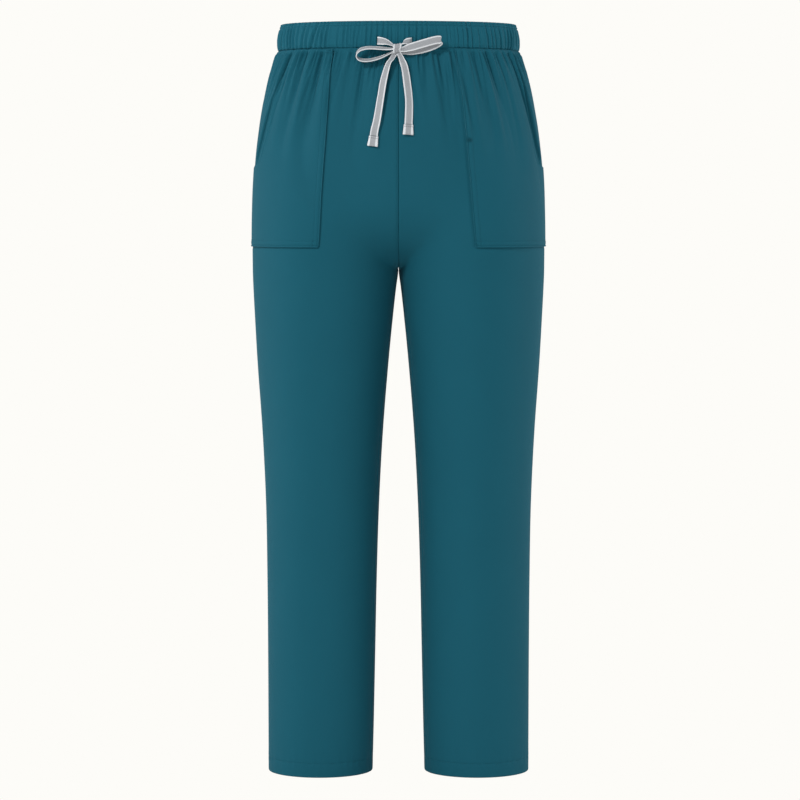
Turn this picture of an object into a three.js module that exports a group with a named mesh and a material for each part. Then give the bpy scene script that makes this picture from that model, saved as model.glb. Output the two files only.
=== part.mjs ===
// Medical scrub trousers, filled out as when worn and empty inside: a gathered elastic waistband, two front
// and two back panels, two patch pockets and a flat drawstring tied in a bow. Millimetres, +Z up, the front
// towards -Y. The origin is the middle of the waist, half-way up the band. Left and right are the wearer's,
// so left is +X. Every panel is a wall of cloth between an outer face and an inner one.

import * as THREE from "three";

// Driving dimensions.
const SEAM_GAP = 0.3; // between pieces that are sewn or laid on each other
const CLOTH = 1.2; // wall of one layer of cloth
const SQUARENESS = 2.2; // of the waist and hip section: 2 is an ellipse, more is boxier
const BAND_TOP_Z = 18;
const BAND_FOOT_Z = -18;
const BAND_WALL = 3; // two layers of cloth and the elastic between them
const BAND_GATHERS = 80; // all round
const BAND_GATHER_DEPTH = 1.0;
const HEM_Z = -1028;
const HEM_TURN = 22; // height of the turned-up hem
const HEM_WALL = 2.4; // two layers
const CROTCH_Z = -321;
const FRONT_RISE_CURVE = 100; // height over which the front seam curves under to the crotch
const BACK_RISE_CURVE = 150;
const LEG_BLEND = 190; // height over which the two legs become one body
const SADDLE_ROUND = 24; // softness of the cleft between the legs
const INSEAM_TURN = THREE.MathUtils.degToRad(18); // how far in front of the inner leg the inseam runs
const INSEAM_FADE = 120; // height below the crotch over which it gets there
const POCKET_TOP_Z = -19.5;
const POCKET_FOOT_Z = -288;
const TAPE_WIDTH = 11;
const TAPE_THICKNESS = 1.3;
const TIP_WIDTH = 13; // the folded and stitched end of the tape
const TIP_THICKNESS = 3.2;

// Level sections of the trousers. half: middle to side seam. gap: middle to the inner leg, where the legs
// part. front and back: depth each way from the section's own middle. shift: how far that lies to the back.
const SECTIONS = [
  { z: -18, half: 167.6, gap: 0.15, front: 100, back: 100, shift: 0 },
  { z: -32, half: 172.9, gap: 0.15, front: 103.5, back: 106, shift: 0 },
  { z: -60, half: 180.9, gap: 0.15, front: 109, back: 116, shift: 0 },
  { z: -100, half: 189.7, gap: 0.15, front: 114, back: 128, shift: 0 },
  { z: -150, half: 197.1, gap: 0.15, front: 117, back: 137, shift: 0 },
  { z: -200, half: 201.2, gap: 0.15, front: 117, back: 140, shift: 0 },
  { z: -260, half: 203.2, gap: 0.15, front: 112, back: 134, shift: 0 },
  { z: CROTCH_Z, half: 203.2, gap: 0.15, front: 104, back: 120, shift: 0 },
  { z: -345, half: 202.4, gap: 3.2, front: 101, back: 115, shift: 0 },
  { z: -380, half: 200.7, gap: 7.1, front: 98, back: 109, shift: 0 },
  { z: -450, half: 197, gap: 14, front: 92, back: 100, shift: 1 },
  { z: -550, half: 190.3, gap: 22, front: 84, back: 90, shift: 3 },
  { z: -650, half: 186, gap: 27.3, front: 77, back: 82, shift: 5 },
  { z: -750, half: 184.6, gap: 30.5, front: 72, back: 76, shift: 7 },
  { z: -850, half: 184.1, gap: 32.6, front: 68, back: 71, shift: 9 },
  { z: -950, half: 184, gap: 34.7, front: 65, back: 68, shift: 11 },
  { z: HEM_Z, half: 184, gap: 36.6, front: 63, back: 66, shift: 12 },
];

// Levels of the waistband. half: middle to side. depth: middle to front or back. gather: share of the
// gathers' depth there, less where rows of stitching hold them down.
const BAND_LEVELS = [
  { z: BAND_FOOT_Z, half: 167.6, depth: 100, gather: 0.5 },
  { z: -2, half: 166.9, depth: 99.6, gather: 1 },
  { z: 13, half: 164.6, depth: 98.2, gather: 0.5 },
  { z: BAND_TOP_Z, half: 162.8, depth: 97, gather: 0.6 },
];

// Level rows of points on a panel, from the waist seam to the hem, and how many columns each has. The
// rows crowd where the seams curve under between the legs.
const PANEL_ROWS = [
  { z: BAND_FOOT_Z - SEAM_GAP, columns: 48 },
  { z: -26, columns: 48 },
  { z: -40, columns: 48 },
  { z: -60, columns: 40 },
  { z: -85, columns: 32 },
  { z: -118, columns: 24 },
  { z: -155, columns: 18 },
  { z: -190, columns: 16 },
  { z: -226, columns: 16 },
  { z: -258, columns: 16 },
  { z: -285, columns: 16 },
  { z: -303, columns: 16 },
  { z: -314, columns: 16 },
  { z: -319, columns: 16 },
  { z: CROTCH_Z, columns: 16 },
  { z: -326, columns: 16 },
  { z: -340, columns: 16 },
  { z: -370, columns: 16 },
  { z: -430, columns: 16 },
  { z: -510, columns: 16 },
  { z: -610, columns: 16 },
  { z: -730, columns: 16 },
  { z: -870, columns: 16 },
  { z: HEM_Z + HEM_TURN + 2, columns: 16 },
  { z: HEM_Z + HEM_TURN, columns: 16 },
  { z: HEM_Z, columns: 16 },
];

// Troughs between the gathers below the waist seam, from the middle (0) to the side (1). seam: place along
// the waist seam. lean: how much nearer the side a trough lies 100 mm lower. reach: how far down it runs.
// depth: at its deepest. width: half of its breadth, as a share of the seam.
const RIGHT_FRONT_TROUGHS = [
  { seam: 0.04, lean: 0.01, reach: 45, depth: 1.9, width: 0.02 },
  { seam: 0.11, lean: 0.01, reach: 40, depth: 1.6, width: 0.018 },
  { seam: 0.185, lean: 0.02, reach: 125, depth: 3.5, width: 0.026 },
  { seam: 0.24, lean: 0.03, reach: 85, depth: 2.7, width: 0.02 },
  { seam: 0.3, lean: 0.02, reach: 50, depth: 1.9, width: 0.018 },
  { seam: 0.36, lean: 0.02, reach: 45, depth: 1.6, width: 0.018 },
  { seam: 0.43, lean: 0.03, reach: 150, depth: 4.6, width: 0.03 },
  { seam: 0.5, lean: 0.02, reach: 50, depth: 2.2, width: 0.02 },
  { seam: 0.575, lean: 0.02, reach: 95, depth: 3.8, width: 0.026 },
  { seam: 0.65, lean: 0.05, reach: 60, depth: 2.7, width: 0.024 },
  { seam: 0.76, lean: 0.05, reach: 70, depth: 2.4, width: 0.03 },
  { seam: 0.88, lean: 0.03, reach: 60, depth: 1.9, width: 0.03 },
];
const LEFT_FRONT_TROUGHS = [
  { seam: 0.05, lean: 0.01, reach: 40, depth: 1.8, width: 0.02 },
  { seam: 0.13, lean: 0.01, reach: 60, depth: 2.4, width: 0.022 },
  { seam: 0.21, lean: 0.02, reach: 95, depth: 3.2, width: 0.024 },
  { seam: 0.28, lean: 0.03, reach: 70, depth: 2.4, width: 0.02 },
  { seam: 0.34, lean: 0.02, reach: 45, depth: 1.6, width: 0.018 },
  { seam: 0.4, lean: 0.03, reach: 95, depth: 3.5, width: 0.026 },
  { seam: 0.49, lean: 0.08, reach: 125, depth: 4.1, width: 0.028 },
  { seam: 0.565, lean: 0.06, reach: 70, depth: 2.7, width: 0.022 },
  { seam: 0.63, lean: 0.07, reach: 60, depth: 2.2, width: 0.02 },
  { seam: 0.68, lean: 0.1, reach: 140, depth: 4.1, width: 0.028 },
  { seam: 0.8, lean: 0.06, reach: 80, depth: 2.7, width: 0.03 },
  { seam: 0.9, lean: 0.03, reach: 60, depth: 1.9, width: 0.028 },
];

// Outlines of the patch pockets seen from the front, counter-clockwise for the left one. out: distance
// from the middle. Where the opening meets the side seam, the outline runs on past it.
const RIGHT_POCKET = [
  { out: 88.5, z: POCKET_TOP_Z },
  { out: 108.3, z: POCKET_FOOT_Z },
  { out: 215, z: POCKET_FOOT_Z },
  { out: 215, z: -226 },
  { out: 171.3, z: -85 },
  { out: 145, z: POCKET_TOP_Z },
];
const LEFT_POCKET = [
  { out: 78, z: POCKET_TOP_Z },
  { out: 104.8, z: POCKET_FOOT_Z },
  { out: 215, z: POCKET_FOOT_Z },
  { out: 215, z: -230 },
  { out: 178, z: -93 },
  { out: 152, z: POCKET_TOP_Z },
];

// The drawstring's knot, and the middle line of each stretch of its tape. across: direction across the
// tape. open: share of its full width, less where the knot gathers it.
const KNOT = { x: -2, y: -108, z: -20, wide: 5.6, deep: 5.2, high: 6.8 };
const RIGHT_STUB = [
  { x: -28.2, y: -100.4, z: -9.2, across: [0, 0, 1], open: 1 },
  { x: -25, y: -103.6, z: -9.6, across: [0, 0, 1], open: 0.95 },
  { x: -17, y: -105.6, z: -11.2, across: [0, 0.4, 0.9], open: 0.8 },
  { x: -7.1, y: -107.6, z: -16, across: [0, 1, 0.35], open: 0.6 },
];
const LEFT_STUB = [
  { x: 18, y: -100.45, z: -10.4, across: [0, 0, 1], open: 1 },
  { x: 15, y: -103.6, z: -10.6, across: [0, 0, 1], open: 0.95 },
  { x: 10, y: -105.6, z: -11.4, across: [0, 0.5, 0.85], open: 0.8 },
  { x: 3.1, y: -107.4, z: -16, across: [0, 1, -0.3], open: 0.6 },
];
const RIGHT_LOOP = [
  { x: -8.5, y: -108.4, z: -20.4, across: [0, 1, 0.3], open: 0.7 },
  { x: -20, y: -108.8, z: -20, across: [0, 1, 0.45], open: 1 },
  { x: -32, y: -109, z: -19.2, across: [0, 1, 0.45], open: 1 },
  { x: -44, y: -109, z: -19.4, across: [0, 1, 0.45], open: 1 },
  { x: -52.5, y: -109.2, z: -22.4, across: [0, 1, 0.45], open: 1 },
  { x: -56.3, y: -109.6, z: -28, across: [0, 1, 0.45], open: 1 },
  { x: -54.5, y: -110, z: -33.4, across: [0, 1, 0.45], open: 1 },
  { x: -48, y: -110.2, z: -35.9, across: [0, 1, 0.45], open: 1 },
  { x: -37, y: -110.2, z: -35.4, across: [0, 1, 0.45], open: 1 },
  { x: -24, y: -109.8, z: -31.8, across: [0, 1, 0.4], open: 1 },
  { x: -13.5, y: -109.2, z: -27.2, across: [0, 1, 0.3], open: 0.8 },
  { x: -8.1, y: -109, z: -24.4, across: [0, 1, 0.3], open: 0.7 },
];
const LEFT_LOOP = [
  { x: 4.3, y: -110.8, z: -21.6, across: [-0.28, 0, 0.96], open: 0.6 },
  { x: 16, y: -111.8, z: -18.6, across: [-0.28, 0, 0.96], open: 0.95 },
  { x: 29, y: -111.5, z: -14.8, across: [-0.28, 0, 0.96], open: 1 },
  { x: 42, y: -110.8, z: -11, across: [-0.28, 0, 0.96], open: 1 },
  { x: 52, y: -109.8, z: -8.6, across: [-0.25, 0, 0.96], open: 1 },
  { x: 57.2, y: -107.3, z: -8.8, across: [-0.1, 0, 1], open: 1 },
  { x: 53.5, y: -105, z: -12.5, across: [-0.2, 0, 0.98], open: 1 },
  { x: 44, y: -104.5, z: -17, across: [-0.25, 0, 0.97], open: 1 },
  { x: 32, y: -104.6, z: -20.6, across: [-0.2, 0, 0.98], open: 1 },
  { x: 19, y: -104.8, z: -23.4, across: [-0.15, 0, 0.98], open: 0.9 },
  { x: 10, y: -105.1, z: -24.2, across: [-0.1, 0, 1], open: 0.7 },
  { x: 4.4, y: -105.6, z: -24, across: [-0.1, 0, 1], open: 0.6 },
];
const RIGHT_TAIL = [
  { x: -4.6, y: -108.5, z: -26.6, across: [0.7, 0.7, 0], open: 0.55 },
  { x: -9, y: -110.6, z: -34, across: [0.7, 0.6, 0.2], open: 0.7 },
  { x: -14.2, y: -112, z: -42, across: [0.8, 0.5, 0.2], open: 0.85 },
  { x: -20.1, y: -113.4, z: -63, across: [0.8, 0.45, 0.15], open: 1 },
  { x: -23.7, y: -115.4, z: -84, across: [0.9, 0.3, 0.15], open: 1 },
  { x: -28.6, y: -117.6, z: -114, across: [1, 0.1, 0.15], open: 1 },
  { x: -32.2, y: -118.4, z: -130, across: [1, 0, 0.15], open: 1 },
  { x: -33.3, y: -118.7, z: -137.5, across: [1, 0, 0.15], open: 1 },
];
const LEFT_TAIL = [
  { x: 0.8, y: -109.3, z: -26.4, across: [0.9, -0.4, 0], open: 0.55 },
  { x: 5, y: -111.2, z: -36, across: [0.95, -0.3, 0], open: 0.75 },
  { x: 8.6, y: -112.6, z: -47, across: [1, -0.1, 0], open: 0.9 },
  { x: 11.5, y: -114, z: -65, across: [1, 0, 0], open: 1 },
  { x: 14.2, y: -115.8, z: -89, across: [1, 0, 0], open: 1 },
  { x: 14.2, y: -117.4, z: -108, across: [1, 0, 0], open: 1 },
  { x: 13.6, y: -118.4, z: -122, across: [1, 0, 0], open: 1 },
];
const TIP_LENGTH = 14; // the folded end of the tape goes on past the tail, in the same direction

// Materials.
const twill = new THREE.MeshStandardMaterial({ color: "#1f5868", roughness: 0.85, metalness: 0 });
const pocketTwill = new THREE.MeshStandardMaterial({ color: "#22606f", roughness: 0.85, metalness: 0 });
const bandTwill = new THREE.MeshStandardMaterial({ color: "#1c5060", roughness: 0.85, metalness: 0 });
const greyTape = new THREE.MeshStandardMaterial({ color: "#b4b6bb", roughness: 0.7, metalness: 0 });

function smooth(t) {
  const s = THREE.MathUtils.clamp(t, 0, 1);
  return s * s * (3 - 2 * s);
}

// A value of the section table at any height, on a smooth curve through its rows.
function sectionAt(name, z) {
  const last = SECTIONS.length - 2;
  let i = SECTIONS.findIndex((row, k) => k <= last && z >= SECTIONS[k + 1].z);
  if (i < 0) i = last;
  const row = (k) => SECTIONS[THREE.MathUtils.clamp(k, 0, last + 1)];
  const slope = (k) => {
    const above = row(k - 1);
    const below = row(k + 1);
    return (below[name] - above[name]) / (below.z - above.z);
  };
  const step = row(i + 1).z - row(i).z;
  const t = THREE.MathUtils.clamp((z - row(i).z) / step, 0, 1);
  const t2 = t * t;
  const t3 = t2 * t;
  return (
    (2 * t3 - 3 * t2 + 1) * row(i)[name] +
    (t3 - 2 * t2 + t) * step * slope(i) +
    (3 * t2 - 2 * t3) * row(i + 1)[name] +
    (t3 - t2) * step * slope(i + 1)
  );
}

// The left half of the trousers. face is "front" or "back". u runs from the middle seam and the inseam, 0,
// to the side seam, 1. Above the crotch the section passes from a leg's shape to that of the whole body.
function formPoint(face, u, z) {
  const half = sectionAt("half", z);
  const gap = sectionAt("gap", z);
  const shift = sectionAt("shift", z);
  const depth = sectionAt(face, z);
  const facing = face === "front" ? -1 : 1;
  const legHalf = (half - gap) / 2;
  if (z < CROTCH_Z) {
    const turn = INSEAM_TURN * smooth((CROTCH_Z - z) / INSEAM_FADE);
    const start = Math.PI - turn;
    const angle = facing < 0 ? start * (1 - u) : start + u * (Math.PI + turn);
    const reach = Math.sin(angle) > 0 ? sectionAt("front", z) : sectionAt("back", z);
    const x = gap + legHalf * (1 + Math.cos(angle));
    return new THREE.Vector3(x, shift - reach * Math.sin(angle), z);
  }
  const body = smooth((z - CROTCH_Z) / LEG_BLEND);
  const legX = gap + legHalf * (1 - Math.cos(Math.PI * u));
  const bodyX = gap + (half - gap) * Math.sin((Math.PI * u) / 2);
  const x = (1 - body) * legX + body * bodyX;
  const profile = (1 - ((x - gap) / (half - gap)) ** SQUARENESS) ** (1 / SQUARENESS) || 0;
  const curve = facing < 0 ? FRONT_RISE_CURVE : BACK_RISE_CURVE;
  const under = THREE.MathUtils.clamp(1 - (z - CROTCH_Z) / curve, 0, 1);
  const rise = depth * Math.sqrt(1 - under * under);
  const legs = (1 - body) * depth * Math.sin(Math.PI * u) + body * depth * profile;
  const middle = rise * profile;
  const round = SADDLE_ROUND * (1 - body) * (rise / depth) * profile;
  const y = (legs + middle + Math.hypot(legs - middle, round)) / 2;
  return new THREE.Vector3(x, shift + facing * y, z);
}

// The outward direction of that surface.
function formNormal(face, u, z) {
  const du = 0.004;
  const dz = 0.4;
  const aside = formPoint(face, Math.min(u + du, 1), z).sub(formPoint(face, Math.max(u - du, 0), z));
  const along = formPoint(face, u, z - dz).sub(formPoint(face, u, z + dz));
  const normal = face === "front" ? along.cross(aside) : aside.cross(along);
  return normal.normalize();
}

// How far the gathers lower the cloth, in mm, at u and z.
function gatherDepth(troughs, u, z) {
  const down = BAND_FOOT_Z - z;
  let total = 0;
  for (const trough of troughs) {
    const centre = trough.seam + (trough.lean * down) / 100;
    const width = trough.width * (1 + down / 120);
    const start = 0.35 + 0.65 * smooth(down / 14);
    const fade = start * (1 - smooth(down / trough.reach));
    total += trough.depth * fade * Math.exp(-(((u - centre) / width) ** 2));
  }
  return total;
}

// Triangles between two rows of points, each row given by its points' indices and their places from 0 to 1.
function zip(upper, lower) {
  const faces = [];
  let i = 0;
  let j = 0;
  while (i < upper.ids.length - 1 || j < lower.ids.length - 1) {
    const upperNext = i < upper.ids.length - 1 ? upper.places[i] + upper.places[i + 1] : Infinity;
    const lowerNext = j < lower.ids.length - 1 ? lower.places[j] + lower.places[j + 1] : Infinity;
    if (upperNext <= lowerNext) {
      faces.push([upper.ids[i], lower.ids[j], upper.ids[i + 1]]);
      i += 1;
    } else {
      faces.push([upper.ids[i], lower.ids[j], lower.ids[j + 1]]);
      j += 1;
    }
  }
  return faces;
}

const reversed = (faces) => faces.map(([a, b, c]) => [a, c, b]);

// The outer face of one panel as points, outward directions and triangles, on the left half.
function panelSheet(face, troughs) {
  const sheet = { points: [], normals: [], faces: [] };
  let previous = null;
  for (const { z, columns } of PANEL_ROWS) {
    const row = { ids: [], places: [] };
    const length = formPoint(face, 0, z).distanceTo(formPoint(face, 1, z));
    const margin = SEAM_GAP / 2 / length;
    for (let k = 0; k <= columns; k += 1) {
      const u = margin + (1 - 2 * margin) * (k / columns);
      const normal = formNormal(face, u, z);
      const point = formPoint(face, u, z).addScaledVector(normal, -gatherDepth(troughs, u, z));
      point.x = Math.max(point.x, SEAM_GAP / 2);
      row.ids.push(sheet.points.length);
      row.places.push(k / columns);
      sheet.points.push(point);
      sheet.normals.push(normal);
    }
    if (previous) sheet.faces.push(...zip(previous, row));
    previous = row;
  }
  if (face === "back") sheet.faces = reversed(sheet.faces);
  return sheet;
}

function mirrored(sheet) {
  const flip = (v) => new THREE.Vector3(-v.x, v.y, v.z);
  return { points: sheet.points.map(flip), normals: sheet.normals.map(flip), faces: reversed(sheet.faces) };
}

function geometryOf(points, faces) {
  const geometry = new THREE.BufferGeometry();
  geometry.setAttribute("position", new THREE.Float32BufferAttribute(points.flatMap((p) => p.toArray()), 3));
  geometry.setIndex(faces.flat());
  geometry.computeVertexNormals();
  return geometry;
}

// A closed wall on a sheet. outer and inner say how far each face stands off the sheet's points.
function wallOn(sheet, outer, inner) {
  const count = sheet.points.length;
  const stand = (lift) =>
    sheet.points.map((p, i) => p.clone().addScaledVector(sheet.normals[i], lift(p)));
  const faces = [];
  const edges = new Map();
  for (const [a, b, c] of sheet.faces) {
    faces.push([a, b, c], [a + count, c + count, b + count]);
    for (const [i, j] of [[a, b], [b, c], [c, a]]) {
      if (!edges.delete(`${j} ${i}`)) edges.set(`${i} ${j}`, [i, j]);
    }
  }
  for (const [i, j] of edges.values()) faces.push([j, i, i + count], [j, i + count, j + count]);
  return geometryOf([...stand(outer), ...stand(inner)], faces);
}

// The part of a sheet inside a convex outline, which is seen from the front.
function cutOut(sheet, outline) {
  const cut = { points: [], normals: [], faces: [] };
  const known = new Map();
  const idOf = ({ point, normal }) => {
    const key = point.toArray().map((value) => Math.round(value * 500)).join(" ");
    if (!known.has(key)) {
      known.set(key, cut.points.length);
      cut.points.push(point);
      cut.normals.push(normal);
    }
    return known.get(key);
  };
  for (const face of sheet.faces) {
    let corners = face.map((i) => ({ point: sheet.points[i], normal: sheet.normals[i] }));
    outline.forEach((a, k) => {
      const b = outline[(k + 1) % outline.length];
      const side = ({ point }) => (b.out - a.out) * (point.z - a.z) - (b.z - a.z) * (point.x - a.out);
      const kept = [];
      corners.forEach((corner, n) => {
        const next = corners[(n + 1) % corners.length];
        const here = side(corner);
        const there = side(next);
        if (here >= 0) kept.push(corner);
        if (here * there < 0) {
          const t = here / (here - there);
          kept.push({
            point: corner.point.clone().lerp(next.point, t),
            normal: corner.normal.clone().lerp(next.normal, t),
          });
        }
      });
      corners = kept;
    });
    const ids = corners.map(idOf).filter((id, n, all) => id !== all[(n + 1) % all.length]);
    for (let n = 2; n < ids.length; n += 1) cut.faces.push([ids[0], ids[n - 1], ids[n]]);
  }
  return cut;
}

// The waistband: gathered outer face, plain inner face, joined at its top and foot.
function waistband() {
  const points = [];
  const ring = (count, level, offset) => {
    const row = { ids: [], places: [] };
    for (let k = 0; k <= count; k += 1) {
      const place = k / count;
      const angle = 2 * Math.PI * place;
      const spread = (value) => Math.sign(value) * Math.abs(value) ** (2 / SQUARENESS);
      const x = spread(Math.sin(angle));
      const y = -spread(Math.cos(angle));
      row.ids.push(k === count ? row.ids[0] : points.length);
      row.places.push(place);
      const stand = offset(place);
      if (k === count) continue;
      points.push(new THREE.Vector3((level.half + stand) * x, (level.depth + stand) * y, level.z));
    }
    return row;
  };
  const gathered = (level) => (place) => {
    const turn = 2 * Math.PI * place;
    const uneven = 2.2 * Math.sin(3 * turn) + 1.6 * Math.sin(7 * turn);
    const strength = 0.75 + 0.25 * Math.sin(5 * turn + 1);
    return BAND_GATHER_DEPTH * level.gather * strength * Math.cos(BAND_GATHERS * turn + uneven);
  };
  const outer = BAND_LEVELS.map((level) => ring(4 * BAND_GATHERS, level, gathered(level)));
  const inside = () => -BAND_WALL;
  const inner = [BAND_LEVELS[0], BAND_LEVELS.at(-1)].map((level) => ring(BAND_GATHERS, level, inside));
  const faces = [];
  for (let k = 1; k < outer.length; k += 1) faces.push(...zip(outer[k], outer[k - 1]));
  faces.push(...reversed(zip(inner[1], inner[0])));
  faces.push(...zip(inner[1], outer.at(-1)), ...zip(outer[0], inner[0]));
  return geometryOf(points, faces);
}

// A flat tape along a smooth line through its stations.
function tape(stations, width, thickness, stepsPerStation) {
  const line = new THREE.CatmullRomCurve3(
    stations.map(({ x, y, z }) => new THREE.Vector3(x, y, z)),
    false,
    "catmullrom",
    0.5,
  );
  const steps = (stations.length - 1) * stepsPerStation;
  const points = [];
  const faces = [];
  for (let k = 0; k <= steps; k += 1) {
    const at = (k / steps) * (stations.length - 1);
    const i = Math.min(Math.floor(at), stations.length - 2);
    const centre = line.getPoint(k / steps);
    const along = line.getTangent(k / steps);
    const wish = new THREE.Vector3(...stations[i].across).normalize();
    wish.lerp(new THREE.Vector3(...stations[i + 1].across).normalize(), at - i);
    const normal = along.clone().cross(wish).normalize();
    const across = normal.clone().cross(along);
    const spread = width * THREE.MathUtils.lerp(stations[i].open, stations[i + 1].open, at - i);
    for (const [w, t] of [[-1, -1], [1, -1], [1, 1], [-1, 1]]) {
      const corner = centre.clone().addScaledVector(across, (w * spread) / 2);
      points.push(corner.addScaledVector(normal, (t * thickness) / 2));
    }
    if (k === 0) continue;
    const first = 4 * (k - 1);
    for (let c = 0; c < 4; c += 1) {
      const a = first + c;
      const b = first + ((c + 1) % 4);
      faces.push([a, b, b + 4], [a, b + 4, a + 4]);
    }
  }
  const end = points.length - 4;
  faces.push([0, 2, 1], [0, 3, 2], [end, end + 1, end + 2], [end, end + 2, end + 3]);
  return geometryOf(points, faces);
}

// The folded end of a tail: two stations straight on from its last two.
function tipAfter(tail) {
  const end = tail.at(-1);
  const last = new THREE.Vector3(end.x, end.y, end.z);
  const before = new THREE.Vector3(tail.at(-2).x, tail.at(-2).y, tail.at(-2).z);
  const along = last.clone().sub(before).normalize();
  return [SEAM_GAP, SEAM_GAP + TIP_LENGTH].map((distance) => {
    const { x, y, z } = last.clone().addScaledVector(along, distance);
    return { x, y, z, across: end.across, open: 1 };
  });
}

const group = new THREE.Group();

function add(name, geometry, material) {
  const mesh = new THREE.Mesh(geometry, material);
  mesh.name = name;
  group.add(mesh);
  return mesh;
}

// The hem is turned up inside, so the wall is thicker there.
const insideFace = (point) => (point.z < HEM_Z + HEM_TURN + 1 ? -HEM_WALL : -CLOTH);
const onOutside = () => 0;

function panel(name, sheet) {
  add(name, wallOn(sheet, onOutside, insideFace), twill);
}

function pocket(name, sheet) {
  add(name, wallOn(sheet, () => SEAM_GAP + CLOTH, () => SEAM_GAP), pocketTwill);
}

const leftFront = panelSheet("front", LEFT_FRONT_TROUGHS);
const rightFront = panelSheet("front", RIGHT_FRONT_TROUGHS);
add("waistband", waistband(), bandTwill);
panel("front_left", leftFront);
panel("front_right", mirrored(rightFront));
panel("back_left", panelSheet("back", RIGHT_FRONT_TROUGHS));
panel("back_right", mirrored(panelSheet("back", LEFT_FRONT_TROUGHS)));
pocket("pocket_left", cutOut(leftFront, LEFT_POCKET));
pocket("pocket_right", mirrored(cutOut(rightFront, RIGHT_POCKET)));

const knot = add("drawstring_knot", new THREE.SphereGeometry(1, 12, 8), greyTape);
knot.scale.set(KNOT.wide, KNOT.deep, KNOT.high);
knot.position.set(KNOT.x, KNOT.y, KNOT.z);
add("drawstring_stub_right", tape(RIGHT_STUB, TAPE_WIDTH, TAPE_THICKNESS, 3), greyTape);
add("drawstring_stub_left", tape(LEFT_STUB, TAPE_WIDTH, TAPE_THICKNESS, 3), greyTape);
add("drawstring_loop_right", tape(RIGHT_LOOP, TAPE_WIDTH, TAPE_THICKNESS, 2), greyTape);
add("drawstring_loop_left", tape(LEFT_LOOP, TAPE_WIDTH, TAPE_THICKNESS, 2), greyTape);
add("drawstring_tail_right", tape(RIGHT_TAIL, TAPE_WIDTH, TAPE_THICKNESS, 2), greyTape);
add("drawstring_tail_left", tape(LEFT_TAIL, TAPE_WIDTH, TAPE_THICKNESS, 2), greyTape);
add("drawstring_tip_right", tape(tipAfter(RIGHT_TAIL), TIP_WIDTH, TIP_THICKNESS, 1), greyTape);
add("drawstring_tip_left", tape(tipAfter(LEFT_TAIL), TIP_WIDTH, TIP_THICKNESS, 1), greyTape);

export default group;
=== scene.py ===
from math import cos, pi, radians, sin

import bpy
import numpy as np
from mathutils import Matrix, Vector


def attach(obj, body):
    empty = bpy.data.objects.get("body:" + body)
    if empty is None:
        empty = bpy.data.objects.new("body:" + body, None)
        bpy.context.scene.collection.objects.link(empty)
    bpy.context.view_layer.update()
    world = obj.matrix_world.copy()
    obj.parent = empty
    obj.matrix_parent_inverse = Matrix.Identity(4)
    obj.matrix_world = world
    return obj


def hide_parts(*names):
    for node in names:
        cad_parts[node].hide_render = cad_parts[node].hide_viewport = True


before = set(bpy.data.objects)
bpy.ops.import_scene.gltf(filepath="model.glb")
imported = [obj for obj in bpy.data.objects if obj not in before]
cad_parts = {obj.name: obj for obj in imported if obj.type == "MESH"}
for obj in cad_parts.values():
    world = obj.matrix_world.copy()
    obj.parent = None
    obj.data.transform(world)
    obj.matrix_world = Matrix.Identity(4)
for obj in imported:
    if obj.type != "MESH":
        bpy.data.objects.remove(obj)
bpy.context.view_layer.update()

# Medical scrub trousers, filled out as when worn, with the front towards -Y. The cutting tables are in
# millimetres, as a maker reads them, and every mesh is made in metres. Left and right are the wearer's.
MM = 0.001


# The studio
# A catalogue picture: the trousers stand filled out on a seamless off-white ground, seen level from the
# front with a long lens. The main light is high on the viewer's left, so folds and edges shade to the
# right and down. Weak soft boxes behind brighten the outer edges of the legs, the viewer's left more.
OFF_WHITE = (0.982, 0.973, 0.939)
GROUND_SHADE = (0.80, 0.79, 0.77)
GARMENT_MIDDLE = Vector((0.0021, 0, -0.503))
CAMERA_DISTANCE = 3.9
CAMERA_ABOVE = radians(4)
GROUND_Z = -1.031
LENS = 125.36
SENSOR_WIDTH = 36
GROUND_REACH = 40


def placed(name, data):
    """A new object in the scene."""
    thing = bpy.data.objects.new(name, data)
    bpy.context.collection.objects.link(thing)
    return thing


camera_lens = bpy.data.cameras.new("camera")
camera_lens.sensor_width = SENSOR_WIDTH
camera_lens.lens = LENS
camera = placed("camera", camera_lens)
camera.location = GARMENT_MIDDLE + CAMERA_DISTANCE * Vector((0, -cos(CAMERA_ABOVE), sin(CAMERA_ABOVE)))
camera.rotation_euler = (pi / 2 - CAMERA_ABOVE, 0, 0)
bpy.context.scene.camera = camera
bpy.context.scene.view_settings.view_transform = "Standard"


def wired(tree, kind, inputs=None, **settings):
    """A shader node with its settings made and its inputs set or linked."""
    node = tree.nodes.new(kind)
    for name, value in settings.items():
        setattr(node, name, value)
    for name, value in (inputs or {}).items():
        if isinstance(value, bpy.types.NodeSocket):
            tree.links.new(value, node.inputs[name])
        else:
            node.inputs[name].default_value = value
    return node


def empty_tree(owner):
    owner.use_nodes = True
    owner.node_tree.nodes.clear()
    return owner.node_tree


def off_white_to_the_camera(tree, lighting, output):
    """Shows even off-white to the camera, while the light it sends on the garment stays as it is."""
    path = wired(tree, "ShaderNodeLightPath")
    even = wired(tree, "ShaderNodeEmission", {"Color": (*OFF_WHITE, 1), "Strength": 1.0})
    seen = path.outputs["Is Camera Ray"]
    both = wired(tree, "ShaderNodeMixShader", {0: seen, 1: lighting, 2: even.outputs[0]})
    wired(tree, output, {"Surface": both.outputs[0]})


studio_air = bpy.data.worlds.new("studio air")
bpy.context.scene.world = studio_air
tree = empty_tree(studio_air)
air = wired(tree, "ShaderNodeBackground", {"Color": (0.95, 0.97, 1.0, 1), "Strength": 0.36})
off_white_to_the_camera(tree, air.outputs[0], "ShaderNodeOutputWorld")

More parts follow.
